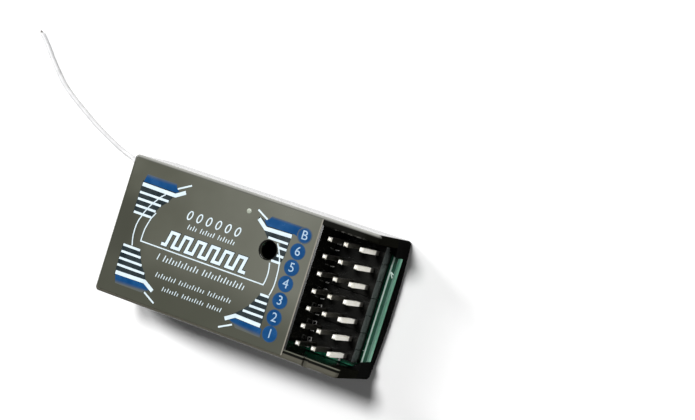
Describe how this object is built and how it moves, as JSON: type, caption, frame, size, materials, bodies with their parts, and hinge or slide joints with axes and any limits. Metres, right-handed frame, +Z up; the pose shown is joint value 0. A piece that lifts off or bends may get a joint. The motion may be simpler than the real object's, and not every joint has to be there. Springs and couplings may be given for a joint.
{
  "type": "rc receiver",
  "caption": "Small radio control receiver: a black two-part case with a printed label, an open bay of three-pin ports at one end, and a thin white antenna wire at the other.",
  "frame": {"origin": "middle of the case's flat underside", "axes": "+X along the case from the antenna end to the pin bay, +Y across it to the side that the antenna leaves at, +Z up through the label"},
  "size_m": [0.071, 0.0337, 0.012],
  "materials": {
    "shell_plastic": "moulded satin black",
    "cover_plastic": "moulded satin black",
    "label_film": "printed grey-brown film, satin",
    "board_laminate": "green solder mask over glass laminate",
    "header_plastic": "moulded black",
    "pin_plating": "flash plated, satin",
    "shield_tin": "tinned sheet",
    "chip_resin": "moulded black resin",
    "tantalum_resin": "moulded ochre resin",
    "chip_ceramic": "fired ceramic",
    "led_lens": "clear red resin",
    "solder": "bright solder",
    "wire_insulation": "smooth white sleeve"
  },
  "bodies": {
    "root": {"lower_shell": "shell_plastic", "cover": "cover_plastic", "label": "label_film", "main_board": "board_laminate", "header_block_1": "header_plastic", "header_block_2": "header_plastic", "header_block_3": "header_plastic", "pin_1_signal": "pin_plating", "pin_1_positive": "pin_plating", "pin_1_negative": "pin_plating", "pin_2_signal": "pin_plating", "pin_2_positive": "pin_plating", "pin_2_negative": "pin_plating", "pin_3_signal": "pin_plating", "pin_3_positive": "pin_plating", "pin_3_negative": "pin_plating", "pin_4_signal": "pin_plating", "pin_4_positive": "pin_plating", "pin_4_negative": "pin_plating", "pin_5_signal": "pin_plating", "pin_5_positive": "pin_plating", "pin_5_negative": "pin_plating", "pin_6_signal": "pin_plating", "pin_6_positive": "pin_plating", "pin_6_negative": "pin_plating", "pin_B_signal": "pin_plating", "pin_B_positive": "pin_plating", "pin_B_negative": "pin_plating", "radio_shield": "shield_tin", "radio_chip": "chip_resin", "processor": "chip_resin", "voltage_regulator": "chip_resin", "crystal": "shield_tin", "input_capacitor": "tantalum_resin", "output_capacitor": "tantalum_resin", "led_resistor": "chip_ceramic", "decoupling_capacitor_1": "chip_ceramic", "decoupling_capacitor_2": "chip_ceramic", "status_light": "led_lens", "antenna_solder_joint": "solder", "antenna_wire": "wire_insulation"}
  },
  "joints": []
}
